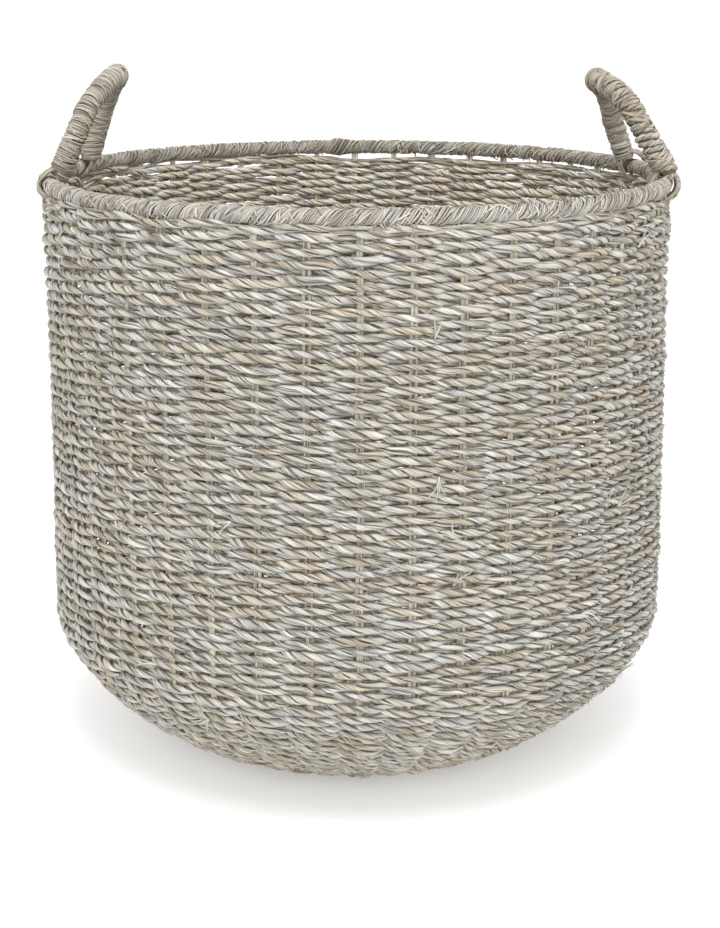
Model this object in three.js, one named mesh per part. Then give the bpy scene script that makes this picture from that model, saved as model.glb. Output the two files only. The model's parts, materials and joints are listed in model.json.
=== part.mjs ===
// Round seagrass storage basket: interlaced stakes and weavers, a wound rim and two hinged arch
// handles. Millimetres, +Z up, origin on the floor at the middle of the base, handles towards +X
// and -X.
import * as THREE from 'three';

// Driving dimensions.
const stakeCount = 42;
const outerRadius = 215;          // outside of the woven wall at the rim
const belly = 3;                  // how much wider the wall is where the lower edge begins
const rimHeight = 398;            // middle of the rim above the floor
const baseRadius = 106;           // flat woven base
const cornerHeight = 97;          // height at which the rounded lower edge becomes the straight wall
const cornerFullness = 1.46;      // exponent of the superellipse that rounds the lower edge
const cornerSteps = 6;            // facets up the rounded lower edge
const cornerBands = 3;            // weaver bands in the rounded lower edge
const wallBands = 4;              // weaver bands in the straight wall
const clearance = 0.35;           // gap between pieces that touch

// Woven wall: each weaver band swings outside one stake and inside the next.
const weaverThickness = 3.5;
const weaverSwing = 3.95;
const stakeThickness = 3.4;
const stakeWidth = 4.4;
const wallHalf = weaverSwing + weaverThickness / 2;
const wallRadius = outerRadius - wallHalf;
const rimGap = 12.2;              // from the middle of the rim down to the top weaver band

// Rim: a hoop inside a lashing that is open underneath, where the stakes run up into it.
const hoopRadius = 3;
const lashingInner = hoopRadius + clearance;
const lashingOuter = 5.4;
const lashingSlit = stakeThickness / 2 + clearance;
const lashingOuterSteps = 7;
const lashingInnerSteps = 5;
const hoopSides = 6;

// Handles: a bent rod inside a winding, held to the rim by an eye at each foot. Each is bent by
// hand, so its two legs differ a little. Bearings are in degrees round from +X.
const footAngle = THREE.MathUtils.degToRad(15.5); // half of the rim arc that a handle spans
const windingRadius = 7.1;
const rodRadius = 4.4;
const eyeRadius = 8.3;
const eyeThickness = 1.8;
const windingSides = 12;
const rodSides = 6;
const eyeSides = 6;
const eyeSegments = 14;
const archSteps = 16;
const footReach = wallRadius * Math.sin(footAngle);
const legHeights = [11.8, 31, 52];                // foot, knee and shoulder above the rim
const legReaches = [footReach, 55, 41];           // the same three, along the chord from the middle
const handles = {
  right: {
    bearing: 1,
    firstLegInward: [0, 12.2, 23.2],
    secondLegInward: [9.5, 16.5, 24.5],
    crown: { inward: 38.2, up: 64.7 },
  },
  left: {
    bearing: 179.4,
    firstLegInward: [10.5, 16.5, 25.5],
    secondLegInward: [8.6, 17.4, 26.2],
    crown: { inward: 38.6, up: 68 },
  },
};

// The woven body is turned a little against the handles, which sit between its stakes.
const bodyTurn = THREE.MathUtils.degToRad(0.6);

const bodySeagrass = { color: 0xb4b0a4, roughness: 0.85, metalness: 0 };
const paleStem = { color: 0xc6bda4, roughness: 0.8, metalness: 0 };
const lashingStrand = { color: 0xb9b2a1, roughness: 0.8, metalness: 0 };
const handleStrand = { color: 0xb5ab97, roughness: 0.8, metalness: 0 };
const caneRod = { color: 0x9a8460, roughness: 0.7, metalness: 0 };

const basket = new THREE.Group();

function addPiece(parent, name, geometry, look) {
  const piece = new THREE.Mesh(geometry, new THREE.MeshStandardMaterial(look));
  piece.name = name;
  parent.add(piece);
  return piece;
}

function numbered(name, index) {
  return `${name}_${String(index + 1).padStart(2, '0')}`;
}

// A level is a point on the middle line of the wall with the wall's outward normal, both in the
// plane of radius and height. The lower edge is a quarter of a superellipse.
function cornerLevel(step) {
  const angle = (Math.PI / 2) * (1 - step / cornerSteps);
  const across = Math.cos(angle) ** (2 / cornerFullness);
  const down = Math.sin(angle) ** (2 / cornerFullness);
  const reach = wallRadius + belly - baseRadius;
  const drop = cornerHeight - wallHalf;
  const normal = new THREE.Vector2(
    across ** (cornerFullness - 1) / reach,
    -(down ** (cornerFullness - 1)) / drop,
  );
  return {
    point: new THREE.Vector2(baseRadius + reach * across, cornerHeight - drop * down),
    normal: normal.normalize(),
  };
}

// The straight wall widens a little from the rim down to the lower edge.
function wallLevel(height) {
  const depth = Math.max(rimHeight - height, 0) / (rimHeight - cornerHeight);
  const point = new THREE.Vector2(wallRadius + belly * depth, height);
  return { point, normal: new THREE.Vector2(1, 0) };
}

const cornerLevels = [];
for (let step = 0; step < cornerSteps; step++) {
  cornerLevels.push(cornerLevel(step));
}
cornerLevels.push(wallLevel(cornerHeight));

function offset(level, distance) {
  return level.point.clone().addScaledVector(level.normal, distance);
}

// Closed outline of a strip that follows the levels, with the given half thickness.
function stripOutline(levels, half) {
  const outside = levels.map((level) => offset(level, half));
  const inside = levels.map((level) => offset(level, -half)).reverse();
  return [...outside, ...inside];
}

// Turns a lathe, which three.js revolves about Y, so that it stands on Z.
function revolve(outline, segments, start = 0) {
  const geometry = new THREE.LatheGeometry([...outline, outline[0]], segments, start);
  return geometry.rotateX(Math.PI / 2);
}

// Base: a flat woven disc, as thick as the wall.
function baseGeometry() {
  const edge = baseRadius - clearance;
  const thickness = 2 * wallHalf;
  const outline = [
    new THREE.Vector2(0, 0),
    new THREE.Vector2(edge, 0),
    new THREE.Vector2(edge, thickness),
    new THREE.Vector2(0, thickness),
  ];
  const geometry = new THREE.LatheGeometry(outline, stakeCount);
  return geometry.rotateX(Math.PI / 2);
}

// Weaver band: a ring with two columns of points over each stake, moved along the wall's normal to
// the outside of one stake and to the inside of the next.
function weaverGeometry(levels, firstSide) {
  const outline = stripOutline(levels, weaverThickness / 2);
  const normals = [...levels, ...[...levels].reverse()].map((level) => level.normal);
  outline.push(outline[0]);
  normals.push(normals[0]);
  const columns = 2 * stakeCount;
  const columnAngle = (2 * Math.PI) / columns;
  const geometry = new THREE.LatheGeometry(outline, columns, -columnAngle / 2);
  const position = geometry.attributes.position;
  for (let index = 0; index < position.count; index++) {
    const column = Math.floor(index / outline.length);
    const row = index % outline.length;
    const stake = Math.floor(column / 2);
    const side = stake % 2 === 0 ? firstSide : -firstSide;
    const angle = (column - 0.5) * columnAngle;
    const radius = outline[row].x + side * weaverSwing * normals[row].x;
    const height = outline[row].y + side * weaverSwing * normals[row].y;
    position.setXYZ(index, radius * Math.sin(angle), height, radius * Math.cos(angle));
  }
  return geometry.rotateX(Math.PI / 2);
}

// Levels of every weaver band, from the base up, shortened at its top edge by the clearance.
function bandLevels() {
  const bands = [];
  const perBand = cornerSteps / cornerBands;
  for (let band = 0; band < cornerBands; band++) {
    const levels = cornerLevels.slice(band * perBand, (band + 1) * perBand + 1);
    const top = levels[perBand];
    const below = levels[perBand - 1];
    const back = below.point.clone().sub(top.point).setLength(clearance);
    levels[perBand] = { point: top.point.clone().add(back), normal: top.normal };
    bands.push(levels);
  }
  const bandHeight = (rimHeight - rimGap - cornerHeight) / wallBands;
  for (let band = 0; band < wallBands; band++) {
    const bottom = cornerHeight + band * bandHeight;
    bands.push([wallLevel(bottom), wallLevel(bottom + bandHeight - clearance)]);
  }
  return bands;
}

// Stake: a strip along the middle line of the wall, from the base's edge up to the rim hoop.
function stakeGeometry() {
  const top = wallLevel(rimHeight - hoopRadius - clearance);
  const outline = stripOutline([...cornerLevels, top], stakeThickness / 2);
  const geometry = new THREE.ExtrudeGeometry(new THREE.Shape(outline), {
    depth: stakeWidth,
    bevelEnabled: false,
  });
  geometry.translate(0, 0, -stakeWidth / 2);
  return geometry.rotateX(Math.PI / 2);
}

// Rim lashing: a C-shaped ring round the hoop, open underneath.
function lashingGeometry() {
  const outline = [];
  const addArc = (radius, from, to, steps) => {
    for (let step = 0; step <= steps; step++) {
      const angle = from + ((to - from) * step) / steps;
      const across = radius * Math.sin(angle);
      const up = -radius * Math.cos(angle);
      outline.push(new THREE.Vector2(wallRadius + across, rimHeight + up));
    }
  };
  const outerStart = Math.asin(lashingSlit / lashingOuter);
  const innerStart = Math.asin(lashingSlit / lashingInner);
  addArc(lashingOuter, outerStart, 2 * Math.PI - outerStart, lashingOuterSteps);
  addArc(lashingInner, 2 * Math.PI - innerStart, innerStart, lashingInnerSteps);
  return revolve(outline, stakeCount);
}

function hoopGeometry() {
  const ring = new THREE.TorusGeometry(wallRadius, hoopRadius, hoopSides, stakeCount);
  return ring.rotateZ(-Math.PI / 2);
}

// Handle arch in the handle's own frame: origin on the hinge axis, +X outwards, Y along the rim
// chord between the feet, +Z up. It rises over the rim and curves in over the mouth. The first leg
// stands towards -Y.
function archCurve({ firstLegInward, secondLegInward, crown }) {
  const legPoint = (inward, index, side) => {
    return new THREE.Vector3(-inward, side * legReaches[index], legHeights[index]);
  };
  const rising = firstLegInward.map((inward, index) => legPoint(inward, index, -1));
  const top = new THREE.Vector3(-crown.inward, 0, crown.up);
  const falling = secondLegInward.map((inward, index) => legPoint(inward, index, 1)).reverse();
  return new THREE.CatmullRomCurve3([...rising, top, ...falling], false, 'centripetal');
}

function polygon(radius, sides) {
  const points = [];
  for (let side = 0; side < sides; side++) {
    const angle = (2 * Math.PI * side) / sides;
    points.push(new THREE.Vector2(radius * Math.cos(angle), radius * Math.sin(angle)));
  }
  return points;
}

function alongArch(shape, handle) {
  return new THREE.ExtrudeGeometry(shape, { steps: archSteps, extrudePath: archCurve(handle) });
}

function rodGeometry(handle) {
  return alongArch(new THREE.Shape(polygon(rodRadius, rodSides)), handle);
}

// The winding's hole has the rod's own sides, each further out by the clearance.
function windingGeometry(handle) {
  const holeRadius = rodRadius + clearance / Math.cos(Math.PI / rodSides);
  const section = new THREE.Shape(polygon(windingRadius, windingSides));
  section.holes.push(new THREE.Path(polygon(holeRadius, rodSides)));
  return alongArch(section, handle);
}

function eyeGeometry() {
  const ring = new THREE.TorusGeometry(eyeRadius, eyeThickness, eyeSides, eyeSegments);
  return ring.rotateX(Math.PI / 2);
}

function addHandle(side, handle) {
  const chordDistance = wallRadius * Math.cos(footAngle);
  const frame = new THREE.Group();
  const angle = THREE.MathUtils.degToRad(handle.bearing);
  frame.rotation.z = angle;
  frame.position.set(chordDistance * Math.cos(angle), chordDistance * Math.sin(angle), rimHeight);
  addPiece(frame, `handle_rod_${side}`, rodGeometry(handle), caneRod);
  addPiece(frame, `handle_winding_${side}`, windingGeometry(handle), handleStrand);
  for (const [foot, place] of [['a', -footReach], ['b', footReach]]) {
    const eye = addPiece(frame, `foot_eye_${side}_${foot}`, eyeGeometry(), handleStrand);
    eye.position.y = place;
  }
  basket.add(frame);
}

const body = new THREE.Group();
body.rotation.z = bodyTurn;
basket.add(body);

addPiece(body, 'base_weave', baseGeometry(), bodySeagrass);

bandLevels().forEach((levels, band) => {
  const firstSide = band % 2 === 0 ? 1 : -1;
  addPiece(body, numbered('weaver_band', band), weaverGeometry(levels, firstSide), bodySeagrass);
});

// The first stake stands at the front, towards -Y, and the rest follow towards +X.
for (let index = 0; index < stakeCount; index++) {
  const stake = addPiece(body, numbered('stake', index), stakeGeometry(), paleStem);
  stake.rotation.z = -Math.PI / 2 + (2 * Math.PI * index) / stakeCount;
}

const hoop = addPiece(body, 'rim_hoop', hoopGeometry(), caneRod);
hoop.position.z = rimHeight;
addPiece(body, 'rim_lashing', lashingGeometry(), lashingStrand);

for (const [side, handle] of Object.entries(handles)) {
  addHandle(side, handle);
}

export default basket;
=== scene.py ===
"""Looks of the seagrass storage basket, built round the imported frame. Metres."""
import json
import math

import bpy
import numpy as np
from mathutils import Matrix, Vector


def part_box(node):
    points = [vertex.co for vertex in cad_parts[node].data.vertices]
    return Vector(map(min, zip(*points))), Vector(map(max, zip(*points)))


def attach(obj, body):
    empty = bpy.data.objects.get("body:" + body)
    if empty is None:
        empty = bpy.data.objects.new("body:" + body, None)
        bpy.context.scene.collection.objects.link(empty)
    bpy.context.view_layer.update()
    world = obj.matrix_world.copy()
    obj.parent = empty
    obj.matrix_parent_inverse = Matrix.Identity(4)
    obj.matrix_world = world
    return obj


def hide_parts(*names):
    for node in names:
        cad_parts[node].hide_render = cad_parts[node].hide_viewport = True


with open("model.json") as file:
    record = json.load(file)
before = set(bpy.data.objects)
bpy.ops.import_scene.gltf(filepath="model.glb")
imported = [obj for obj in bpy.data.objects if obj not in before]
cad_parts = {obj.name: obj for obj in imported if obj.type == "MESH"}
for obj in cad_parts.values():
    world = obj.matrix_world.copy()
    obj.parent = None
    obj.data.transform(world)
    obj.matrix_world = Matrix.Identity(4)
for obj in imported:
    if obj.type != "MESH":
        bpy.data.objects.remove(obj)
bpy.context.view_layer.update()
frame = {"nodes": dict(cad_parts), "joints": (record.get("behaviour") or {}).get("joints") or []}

TURN = 2 * math.pi
rng = np.random.default_rng(42)

# The bands below this count are in the rounded edge, the others in the straight wall.
CORNER_BANDS = 3

# Places read from the frame.
hoop_low, hoop_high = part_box("rim_hoop")
base_low, base_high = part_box("base_weave")
RIM_HEIGHT = (hoop_low[2] + hoop_high[2]) / 2
HOOP_TUBE = 0.003
WALL_RADIUS = (hoop_high[1] - hoop_low[1]) / 2 - HOOP_TUBE
WALL_HALF = (base_high[2] - base_low[2]) / 2
PIECE_GAP = 0.00035
BASE_RADIUS = (base_high[1] - base_low[1]) / 2 + PIECE_GAP
CORNER_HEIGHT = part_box(f"weaver_band_{CORNER_BANDS + 1:02d}")[0][2]
STAKES = sum(1 for name in frame["nodes"] if name.startswith("stake_"))
stake_low, stake_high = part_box("stake_01")
STAKE_TURN = math.atan2(stake_low[0] + stake_high[0], -(stake_low[1] + stake_high[1]))

# The rounded lower edge, as in the CAD: a quarter of a superellipse. The wall above it narrows by
# BELLY on its way up to the rim.
BELLY = 0.003
CORNER_FULLNESS = 1.46

# Rows of rope: their pitch, and how they swing outside and inside the stakes.
ROW_PITCH = 0.0037
ROW_PITCH_SPREAD = 0.08
ROW_PITCH_LIMITS = (0.82, 1.2)
ROW_BELOW_RIM = 0.005
ROPE_STEP = 0.0025
ROPE_SWING = 0.0029
SWING_SPREAD = 0.1
WAVE_SQUARENESS = 1.5
THICKNESS_SPREAD = 0.08
THICKNESS_FINE = 0.06

# Plies: two to a rope, each a bunch of folded blades, laid round each other.
PLY_OFFSET = 0.0012
PLY_DEPTH = 0.0015
PLY_WIDTH = 0.00212
PLY_FOLDS = (1.02, 0.84, 1.07, 0.86, 1.0, 0.81, 1.05, 0.88)
FOLD_STEPS = 5
FOLD_SPREAD = 0.1
TWIST_LENGTH = 0.0245
TWIST_SPREAD = (0.85, 1.15)
TWIST_WANDER = 0.7
CROWN_PLUMP = 0.98
CROSSING_SQUEEZE = 0.14

# Light on a rope: each length of blade has its own, less in the grooves and more on the inner face.
SHADE_LENGTH = 0.016
SHADE_SPREAD = 0.06
PLY_SHADE_SPREAD = 0.03
RIDGE_LIGHT = 0.04
FOLD_DARK = 0.12
FOLD_LIT = 0.92
GROOVE_SHADE = 0.52
GROOVE_SHARPNESS = 1.4
INNER_LIGHT = 0.56
INNER_SHARPNESS = 1.8

# The flat base and the lowest rows. STEEP parts the base, which lies flat, from rows that bulge.
LOW_ROWS = 0.1
LOW_THICKER = 0.08
LOW_FLATTER = 0.2
LOW_BROWN = 0.34
BROWN_ROWS = 0.12
BASE_SPLIT = 0.065
BASE_SWING = 0.0024
BASE_BROWN = 0.3
STAKES_PER_LONG = 3
LONG_STAKE_START = BASE_SPLIT * 0.2
KNOT_TURNS = 2.2
STEEP = 0.2

# Tone runs from 0, whitewashed, to 1, bare tan.
BLADE_LENGTH = 0.045
WORN_CROWN = 0.55
ROW_TONE_SPREAD = 0.05
BLADE_TONE = 0.36
BLADE_TONE_SPREAD = 0.15
BLADE_TONE_MOST = 0.8
TAN_BLADES = 0.05
TAN_FROM = 0.7
BLADE_BLEND = 5
ODD_TONE = 0.45
ODD_TONE_SPREAD = 0.2

# Unevenness of the rows, and how they hang below the rim.
SAG_LIFT = 0.00045
SAG_BULGE = 0.00055
ROW_LIFT = 0.00042
ROW_LIFT_FINE = 0.00018
ROW_LIFT_AT_RIM = 0.0008
EYE_DROP = 0.0057
EYE_DROP_WIDTH = 0.0092
SLACK_DROP = 0.005
HANGING_DROP = 0.0014
HANGING_THIN = 0.2
SETTLED_ROWS = 0.04
UNEVEN_ROWS = 0.045
HANGING_ROWS = 0.03
RIM_ZONE = 0.008

# Shift between the surface patterns of one tube and the next.
TUBE_SHIFT = 0.731

# Ridges along strands, as parts of their thickness.
RIDGE_STEPS = 4
STEM_RIDGES = 0.05
PLY_RIDGES = 0.15
STRAND_RIDGES = 0.16

# Stakes, loose fibres and tails.
STEM_RADIUS = 0.00128
STEM_SPACING = 0.0022
THREE_STEMS = 0.3
STEM_WANDER = 0.0005
STEM_RIPPLE = 0.00025
FIBRES_FROM = 0.07
FIBRES_BELOW_RIM = 0.02
WHISKERS = 420
WHISKER_LENGTHS = (0.004, 0.012)
WHISKER_LIFTS = (0.15, 0.6)
WHISKER_RADIUS = 0.00022
TAILS = 60
TAIL_LENGTHS = (0.008, 0.017)
TAIL_LIFTS = (0.08, 0.25)
TAIL_WIDTH = 0.0007
TAIL_DEPTH = 0.0003
FIBRE_ROOT = 0.0042

# Rim.
RIM_CORE = 0.0039
RIM_LEAD = 0.021
RIM_STRANDS = 16
RIM_GROUP = 4
RIM_REACH = 0.0042
RIM_STRAND_WIDTH = 0.0006
RIM_STRAND_DEPTH = 0.00062
RIM_CROWN = 0.0005
RIM_ROUGH = 0.00024
RIM_DRIFT = 0.3
RIM_SLOW_DRIFT = 0.5
RIM_JOIN = 0.0017
RIM_JOIN_WIDTH = 0.007
RIM_JOIN_ANGLE = math.pi + 0.066
RIM_STRAYS = 1100
STRAY_ROOT = 0.0003
STRAY_LIFT = 0.0007
STRAY_WIDTHS = (0.00045, 0.00090)
STRAY_DEPTH = 0.00046
RIM_STUBS = 90
STUB_ROOT = 0.0034
EDGE_STRANDS = 5
EDGE_WIDTH = 0.00125
EDGE_DEPTH = 0.00055
EDGE_DROP = 0.0058
EDGE_SWING = 0.0026
EDGE_SQUARENESS = 1.4
EDGE_SHIFT = 0.5

# Handles: inward, along and up from the middle of the hinge, as in the CAD.
FOOT_REACH = WALL_RADIUS * math.sin(math.radians(15.5))
LEG_HEIGHTS = (0.0118, 0.031, 0.052)
LEG_REACHES = (FOOT_REACH, 0.055, 0.041)
ARCHES = {
    "right": {
        "first": (0.0, 0.0122, 0.0232),
        "second": (0.0095, 0.0165, 0.0245),
        "crown": (0.0382, 0.0647),
    },
    "left": {
        "first": (0.0105, 0.0165, 0.0255),
        "second": (0.0086, 0.0174, 0.0262),
        "crown": (0.0386, 0.0680),
    },
}
ARCH_MIDDLE = (-0.015, 0.0, 0.005)
WINDING_CORE = 0.0059
WINDING_REACH = 0.0062
WINDING_SLANT = 0.0012
WINDING_STRAYS = 110
COARSE_PART = 0.46
COARSE_PITCH = 0.004
COARSE_PLY = 0.00112
COARSE_LAY = 0.0135
COARSE_REACH = 0.0057
COARSE_ROUGH = 0.00025
COARSE_FOOT = 0.14
COARSE_FOOT_LENGTH = 0.022
FOOT_TAPER = 0.12
FOOT_TAPER_LENGTH = 0.006
FOOT_RUN_ON = 0.0065
BAND_PITCH = 0.0064
BAND_STRANDS = 5
BAND_TILT = 0.0007
BAND_CROWN = 0.0007
BAND_ROUGH = 0.00022
BAND_WANDER = 0.00045
BAND_STRAND_WIDTH = 0.00082
BAND_STRAND_DEPTH = 0.00062
EYE_REACH = {"right": 0.0086, "left": 0.0063}
EYE_STRANDS = 7
EYE_WIDTH = 0.008
EYE_PLY = 0.00092
EYE_LAY = 0.011
EYE_TIP_SPREAD = 0.75
EYE_NARROWER = 0.3
EYE_SWAY = 0.0009
EYE_ROUGH = 0.0002
EYE_STRAND_WIDTH = 0.0015
EYE_STRAND_DEPTH = 0.001
EYE_LAYER = 0.0009
EYE_TIP = 0.85

# Lowest point of any strand: what would lie under the floor is flattened against it.
FLOOR_CONTACT = 0.0001

# Fine surface of the blades.
FIBRE_LENGTH = 0.018
FIBRE_RELIEF = 0.0003
FIBRE_BUMP = 0.5
FIBRE_SHADE = (0.85, 1.09)
FIBRE_ROUGHNESS = (0.82, 0.6)
PATCHES_PER_METRE = 38.0
PATCH_TONE = 0.14
STREAK_TONE = 0.16
UNWASHED_TONE = 0.42
CREASE_WIDTH = 0.075
CREASE_SHADE = 0.16

# Camera, floor and light.
CAMERA_DISTANCE = 1.204
CAMERA_HEIGHT = 0.5335
CAMERA_SIDE = 0.0021
CAMERA_PITCH = 15.85
CAMERA_LENS = 44.84
FLOOR_RADIUS = 8.0
WORLD_STRENGTH = 1.0
KEY_POWER = 15.0
FILL_POWER = 8.0
TOP_POWER = 15.5


# ---- Strands: tubes gathered into one mesh ----

class Bundle:
    """Tubes that become one mesh, with strand coordinates, tones and a strip layout for baking."""

    def __init__(self):
        self.tubes = []

    def add(self, rings, closed, tone, light, wash=1.0):
        """rings is (n, k, 3). tone, light and wash are numbers or arrays of n, or of n by k."""
        count, sides = rings.shape[:2]
        rings = np.maximum(rings, [-np.inf, -np.inf, FLOOR_CONTACT])

        def spread(value):
            value = np.asarray(value, dtype=float)
            if value.ndim == 1:
                value = value[:, None]
            return np.broadcast_to(value, (count, sides)).reshape(-1)

        middle = rings.mean(axis=1)
        after = np.roll(middle, -1, axis=0) if closed else middle[1:]
        steps = np.linalg.norm(after - middle[:len(after)], axis=1)
        along = np.concatenate([[0.0], np.cumsum(steps)])
        girth = np.linalg.norm(np.roll(rings[0], -1, axis=0) - rings[0], axis=1)
        girths = np.concatenate([[0.0], np.cumsum(girth)])
        self.tubes.append((rings, closed, along, girths, spread(tone), spread(light), spread(wash)))

    def build(self, name, material, columns=2):
        """Makes the mesh object. Every tube is cut into equal strips, laid in rows for the bake."""
        total = sum(tube[2][-1] for tube in self.tubes)
        girth = max(tube[3][-1] for tube in self.tubes)
        strip = math.sqrt(girth * total) / columns
        base, strips = 0, 0
        corners, sizes, strand, bake = [], [], [], []
        places = []
        for rings, closed, along, *_ in self.tubes:
            count, sides = rings.shape[:2]
            links = count if closed else count - 1
            per_strip = max(1, round(strip / (along[-1] / links)))
            places.append((base, strips, per_strip, links))
            base += count * sides
            strips += math.ceil(links / per_strip)
        rows = math.ceil((strips + 1) / columns)
        seed = 0.0
        for (rings, closed, along, girths, *_), place in zip(self.tubes, places):
            base, first, per_strip, links = place
            count, sides = rings.shape[:2]
            i, j = np.meshgrid(np.arange(links), np.arange(sides), indexing="ij")
            i, j = i.ravel(), j.ravel()
            di = np.array([0, 1, 1, 0])
            dj = np.array([0, 0, 1, 1])
            ring = (i[:, None] + di) % count
            side = (j[:, None] + dj) % sides
            corners.append((base + ring * sides + side).ravel())
            sizes.append(np.full(len(i), 4))
            seed += TUBE_SHIFT
            u = along[i[:, None] + di] + seed
            v = girths[j[:, None] + dj]
            strand.append(np.stack([u, v + seed], -1).reshape(-1, 2))
            cell = first + i // per_strip
            u = ((i % per_strip)[:, None] + di) / per_strip
            v = (j[:, None] + dj) / sides
            bake.append(cell_place(cell[:, None], u, v, columns, rows).reshape(-1, 2))
            if not closed:
                ends = np.stack([np.arange(sides), (count - 1) * sides + np.arange(sides)[::-1]])
                corners.append((base + ends).ravel())
                sizes.append(np.full(2, sides))
                angle = TURN * np.arange(sides) / sides
                disc = np.stack([np.cos(angle), np.sin(angle)], -1) * 0.5 + 0.5
                ring_uv = np.concatenate([disc, disc[::-1]])
                strand.append(ring_uv * girths[-1] / 3 + seed)
                spare = np.full(2 * sides, strips)
                bake.append(cell_place(spare, ring_uv[:, 0], ring_uv[:, 1], columns, rows))
        points = np.concatenate([tube[0].reshape(-1, 3) for tube in self.tubes])
        mesh = bpy.data.meshes.new(name)
        fill_mesh(mesh, points, np.concatenate(corners), np.concatenate(sizes))
        for title, values in (("Strand", strand), ("OFBake", bake)):
            layer = mesh.uv_layers.new(name=title)
            layer.data.foreach_set("uv", np.concatenate(values).astype(np.float32).ravel())
        mesh.uv_layers.active = mesh.uv_layers["Strand"]
        mesh.uv_layers["Strand"].active_render = True
        for slot, title in ((4, "tone"), (5, "light"), (6, "wash")):
            values = np.concatenate([tube[slot] for tube in self.tubes]).astype(np.float32)
            mesh.attributes.new(title, "FLOAT", "POINT").data.foreach_set("value", values)
        mesh.materials.append(material)
        return add_object(name, mesh)


def add_object(name, data):
    made = bpy.data.objects.new(name, data)
    bpy.context.scene.collection.objects.link(made)
    return made


def cell_place(cell, u, v, columns, rows):
    """Bake coordinates of a point in one cell of the strip layout, inside a small margin."""
    margin_u, margin_v = 0.01, 0.1
    column = cell % columns
    row = cell // columns
    across = (column + margin_u + (1 - 2 * margin_u) * u) / columns
    up = (row + margin_v + (1 - 2 * margin_v) * v) / rows
    return np.stack(np.broadcast_arrays(across, up), -1)


def fill_mesh(mesh, points, corners, sizes):
    starts = np.concatenate([[0], np.cumsum(sizes)[:-1]])
    mesh.vertices.add(len(points))
    mesh.vertices.foreach_set("co", points.astype(np.float32).ravel())
    mesh.loops.add(len(corners))
    mesh.loops.foreach_set("vertex_index", corners.astype(np.int32))
    mesh.polygons.add(len(sizes))
    mesh.polygons.foreach_set("loop_start", starts.astype(np.int32))
    mesh.polygons.foreach_set("use_smooth", np.ones(len(sizes), dtype=bool))
    mesh.update(calc_edges=True)
    mesh.validate()


def ring_noise(angle, knots):
    """Smooth noise round a circle, with one random value at each of the evenly spaced knots."""
    values = rng.normal(size=knots)
    place = angle / TURN * knots
    low = np.floor(place).astype(int)
    part = place - low
    part = part * part * (3 - 2 * part)
    return values[low % knots] * (1 - part) + values[(low + 1) % knots] * part


def line_noise(count, knots):
    """Smooth noise along an open line."""
    return ring_noise(np.linspace(0, TURN * knots / (knots + 1), count, endpoint=False), knots + 1)


def blade_tone(count, pieces):
    """Tone along a ply: each length of blade has its own, with a short blend where the next starts."""
    values = np.clip(rng.normal(BLADE_TONE, BLADE_TONE_SPREAD, size=pieces), 0, BLADE_TONE_MOST)
    tan = rng.random(pieces) < TAN_BLADES
    values[tan] = rng.uniform(TAN_FROM, 1.0, size=tan.sum())
    place = np.arange(count) / count * pieces + rng.random()
    low = np.floor(place).astype(int)
    part = np.clip((place - low - 0.5) * BLADE_BLEND + 0.5, 0, 1)
    return values[low % pieces] * (1 - part) + values[(low + 1) % pieces] * part


def odd_tone(middle=ODD_TONE):
    """Tone of one short strand."""
    return float(np.clip(rng.normal(middle, ODD_TONE_SPREAD), 0, 1))


def hump(steps):
    """Rises from 0 at the ends of a stray strand to 1 in its middle."""
    return np.sqrt(np.sin(math.pi * steps).clip(0))


def stray_taper(steps):
    """Width along a stray strand: narrow at both ends."""
    return 1 - 0.6 * (2 * steps - 1) ** 4


def unit(vectors):
    return vectors / np.linalg.norm(vectors, axis=-1, keepdims=True)


def path_tangent(path, closed):
    if closed:
        return unit(np.roll(path, -1, axis=0) - np.roll(path, 1, axis=0))
    return unit(np.gradient(path, axis=0))


def tube(path, width, depth, facing, closed=False, sides=6, taper=1.0, ridges=0.0):
    """Rings round a path. facing gives, at each point, roughly which way the depth lies."""
    count = len(path)
    tangent = path_tangent(path, closed)
    out = unit(facing - tangent * (facing * tangent).sum(-1, keepdims=True))
    across = np.cross(out, tangent)
    angle = TURN * np.arange(sides) / sides
    size = np.ones((count, sides))
    if ridges:
        circle = TURN * np.arange(count) / count
        knots = count // RIDGE_STEPS
        for side in range(sides):
            noise = ring_noise(circle, max(4, knots)) if closed else line_noise(count, max(3, knots))
            size[:, side] += ridges * noise
    size = size * np.broadcast_to(taper, count)[:, None]
    reach_out = depth * np.cos(angle) * size
    reach_across = width * np.sin(angle) * size
    return path[:, None] + reach_out[..., None] * out[:, None] + reach_across[..., None] * across[:, None]


# ---- The wall's middle line ----

def wall_table():
    """Points up the middle line of base edge, rounded edge and wall, with outward normals."""
    angle = np.linspace(math.pi / 2, 0, 400)
    across = np.cos(angle).clip(0) ** (2 / CORNER_FULLNESS)
    down = np.sin(angle) ** (2 / CORNER_FULLNESS)
    reach = WALL_RADIUS + BELLY - BASE_RADIUS
    drop = CORNER_HEIGHT - WALL_HALF
    radius = BASE_RADIUS + reach * across
    height = CORNER_HEIGHT - drop * down
    normal_r = across ** (CORNER_FULLNESS - 1) / reach
    normal_z = -(down ** (CORNER_FULLNESS - 1)) / drop
    size = np.hypot(normal_r, normal_z)
    radius = np.append(radius, WALL_RADIUS)
    height = np.append(height, RIM_HEIGHT)
    normal_r = np.append(normal_r / size, 1.0)
    normal_z = np.append(normal_z / size, 0.0)
    climb = np.concatenate([[0], np.cumsum(np.hypot(np.diff(radius), np.diff(height)))])
    return climb, radius, height, normal_r, normal_z


CLIMB, TABLE_R, TABLE_Z, TABLE_NR, TABLE_NZ = wall_table()


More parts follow.
